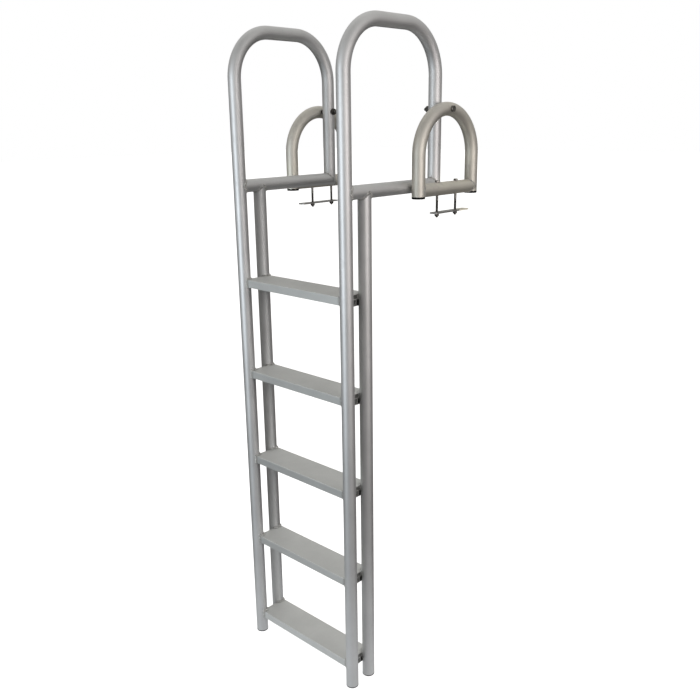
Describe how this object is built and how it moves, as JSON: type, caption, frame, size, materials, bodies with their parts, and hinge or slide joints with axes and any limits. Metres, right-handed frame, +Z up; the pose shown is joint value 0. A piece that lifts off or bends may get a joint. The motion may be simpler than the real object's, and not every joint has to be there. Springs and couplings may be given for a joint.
{
  "type": "dock ladder",
  "caption": "Flip-up boarding ladder of round aluminium tube with flat treads, looped hand rails and arched brackets that clamp to a dock.",
  "frame": {"origin": "centre of the lower face of the front leg cap of the right-hand dock bracket, on the level of the deck", "axes": "+X across the ladder towards the right-hand side as seen from the water, +Y from the water towards the dock, +Z up"},
  "size_m": [0.5932, 0.573, 2.0702],
  "materials": {
    "tube": "satin anodised",
    "bracket_tube": "satin anodised",
    "tread": "matt extruded",
    "plate": "mill",
    "bolt": "stainless",
    "spacer": "moulded",
    "plug": "moulded"
  },
  "bodies": {
    "dock_brackets": {"arch_left": "bracket_tube", "crossbar_left": "bracket_tube", "front_cap_left": "plug", "rear_cap_left": "plug", "clamp_plate_left": "plate", "clamp_bolts_left": "bolt", "clamp_nuts_left": "bolt", "pivot_bolt_left": "bolt", "pivot_washer_left": "bolt", "pivot_nut_left": "bolt", "pivot_spacer_left": "spacer", "arch_right": "bracket_tube", "crossbar_right": "bracket_tube", "front_cap_right": "plug", "rear_cap_right": "plug", "clamp_plate_right": "plate", "clamp_bolts_right": "bolt", "clamp_nuts_right": "bolt", "pivot_bolt_right": "bolt", "pivot_washer_right": "bolt", "pivot_nut_right": "bolt", "pivot_spacer_right": "spacer"},
    "ladder": {"rail_left": "tube", "arm_left": "tube", "rear_rail_left": "tube", "front_foot_left": "plug", "rear_foot_left": "plug", "rail_right": "tube", "arm_right": "tube", "rear_rail_right": "tube", "front_foot_right": "plug", "rear_foot_right": "plug", "tread_1": "tread", "tread_2": "tread", "tread_3": "tread", "tread_4": "tread", "tread_5": "tread"}
  },
  "joints": [
    {"name": "flip_up", "type": "hinge", "parent": "dock_brackets", "child": "ladder", "pos_m": [-0.27, 0.133, 0.255], "axis": [-1, 0, 0], "range_deg": [0, 180]}
  ]
}
